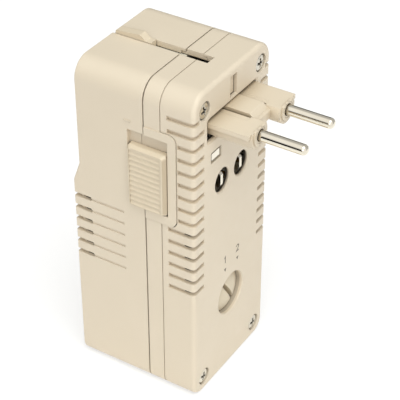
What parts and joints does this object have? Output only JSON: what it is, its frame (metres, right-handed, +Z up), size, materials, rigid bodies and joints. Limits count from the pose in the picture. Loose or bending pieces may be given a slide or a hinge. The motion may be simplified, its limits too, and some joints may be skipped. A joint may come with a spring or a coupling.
{
  "type": "voltage converter",
  "caption": "Hand-held travel voltage converter with retractable round-pin, three-pin and flat-blade plugs, a slide lock, a coin-slot selector and a rear outlet.",
  "frame": {"origin": "centre of the base, midway between the front face and the lower rear face", "axes": "+X to the right seen from the front, +Y from the front to the rear, +Z up"},
  "size_m": [0.0533, 0.0865, 0.1367],
  "materials": {
    "case": "satin",
    "slider": "matte",
    "inner_plastic": "satin",
    "plug_body": "satin",
    "blade_rotor": "satin",
    "thumb_tab": "matte",
    "plated_pin": "polished",
    "screw_steel": "satin",
    "contact_brass": "satin",
    "outlet": "satin",
    "knob": "satin",
    "core_steel": "rough",
    "bobbin": "matte",
    "copper_wire": "satin",
    "black_moulding": "matte",
    "board": "satin",
    "sink_aluminium": "satin",
    "capacitor": "gloss",
    "ferrite": "rough",
    "fuse_glass": "clear",
    "lead_insulation": "satin"
  },
  "bodies": {
    "root": {"front_cover": "case", "middle_frame": "case", "rear_cover": "case", "plug_chassis": "inner_plastic", "divider_plate": "inner_plastic", "switch_base": "inner_plastic", "case_screws": "screw_steel", "chassis_screws": "screw_steel", "core_screws": "screw_steel", "board_screws": "screw_steel", "guide_rods": "screw_steel", "uk_strips": "contact_brass", "us_strips": "contact_brass", "euro_strips": "contact_brass", "outlet_contact_left": "contact_brass", "outlet_contact_right": "contact_brass", "switch_contacts": "contact_brass", "fuse_clips": "contact_brass", "outlet_block": "outlet", "core_e_stack": "core_steel", "core_i_stack": "core_steel", "coil_bobbin": "bobbin", "primary_winding": "copper_wire", "secondary_winding": "copper_wire", "thermal_cutout": "black_moulding", "triac": "black_moulding", "circuit_board": "board", "heat_sink": "sink_aluminium", "filter_capacitor": "capacitor", "suppression_choke": "ferrite", "fuse_link": "fuse_glass", "supply_lead_left": "lead_insulation", "supply_lead_right": "lead_insulation", "switch_lead_low": "lead_insulation", "switch_lead_high": "lead_insulation", "switch_lead_common": "lead_insulation"},
    "lock": {"lock_pad": "slider", "lock_bar": "inner_plastic"},
    "euro": {"euro_carriage": "plug_body", "euro_pin_left": "plated_pin", "euro_pin_right": "plated_pin", "euro_wiper_left": "contact_brass", "euro_wiper_right": "contact_brass"},
    "uk": {"uk_carriage": "inner_plastic", "uk_pin_left": "plated_pin", "uk_pin_right": "plated_pin", "uk_earth_pin": "plated_pin", "uk_thumb_tab": "thumb_tab"},
    "us": {"us_carriage": "inner_plastic", "us_thumb_tab": "thumb_tab", "us_wipers": "contact_brass"},
    "us_left": {"us_rotor_left": "blade_rotor", "us_blade_left": "plated_pin"},
    "us_right": {"us_rotor_right": "blade_rotor", "us_blade_right": "plated_pin"},
    "selector": {"selector_knob": "knob", "selector_rotor": "inner_plastic", "rotor_contact": "contact_brass"}
  },
  "joints": [
    {"name": "lock_slide", "type": "slide", "parent": "root", "child": "lock", "axis": [0, 0, 1], "range_m": [0, 0.0052]},
    {"name": "euro_slide", "type": "slide", "parent": "root", "child": "euro", "axis": [0, 1, 0], "range_m": [0, 0.0346]},
    {"name": "uk_slide", "type": "slide", "parent": "root", "child": "uk", "axis": [0, -1, 0], "range_m": [0, 0.018]},
    {"name": "us_slide", "type": "slide", "parent": "root", "child": "us", "axis": [0, -1, 0], "range_m": [0, 0.0178]},
    {"name": "left_blade_turn", "type": "hinge", "parent": "us", "child": "us_left", "pos_m": [-0.0065, 0, 0.0916], "axis": [0, 1, 0], "range_deg": [0, 30]},
    {"name": "right_blade_turn", "type": "hinge", "parent": "us", "child": "us_right", "pos_m": [0.0065, 0, 0.0916], "axis": [0, 1, 0], "range_deg": [-30, 0]},
    {"name": "selector_turn", "type": "hinge", "parent": "root", "child": "selector", "pos_m": [0.0005, 0, 0.0349], "axis": [0, 1, 0], "range_deg": [0, 64]}
  ]
}
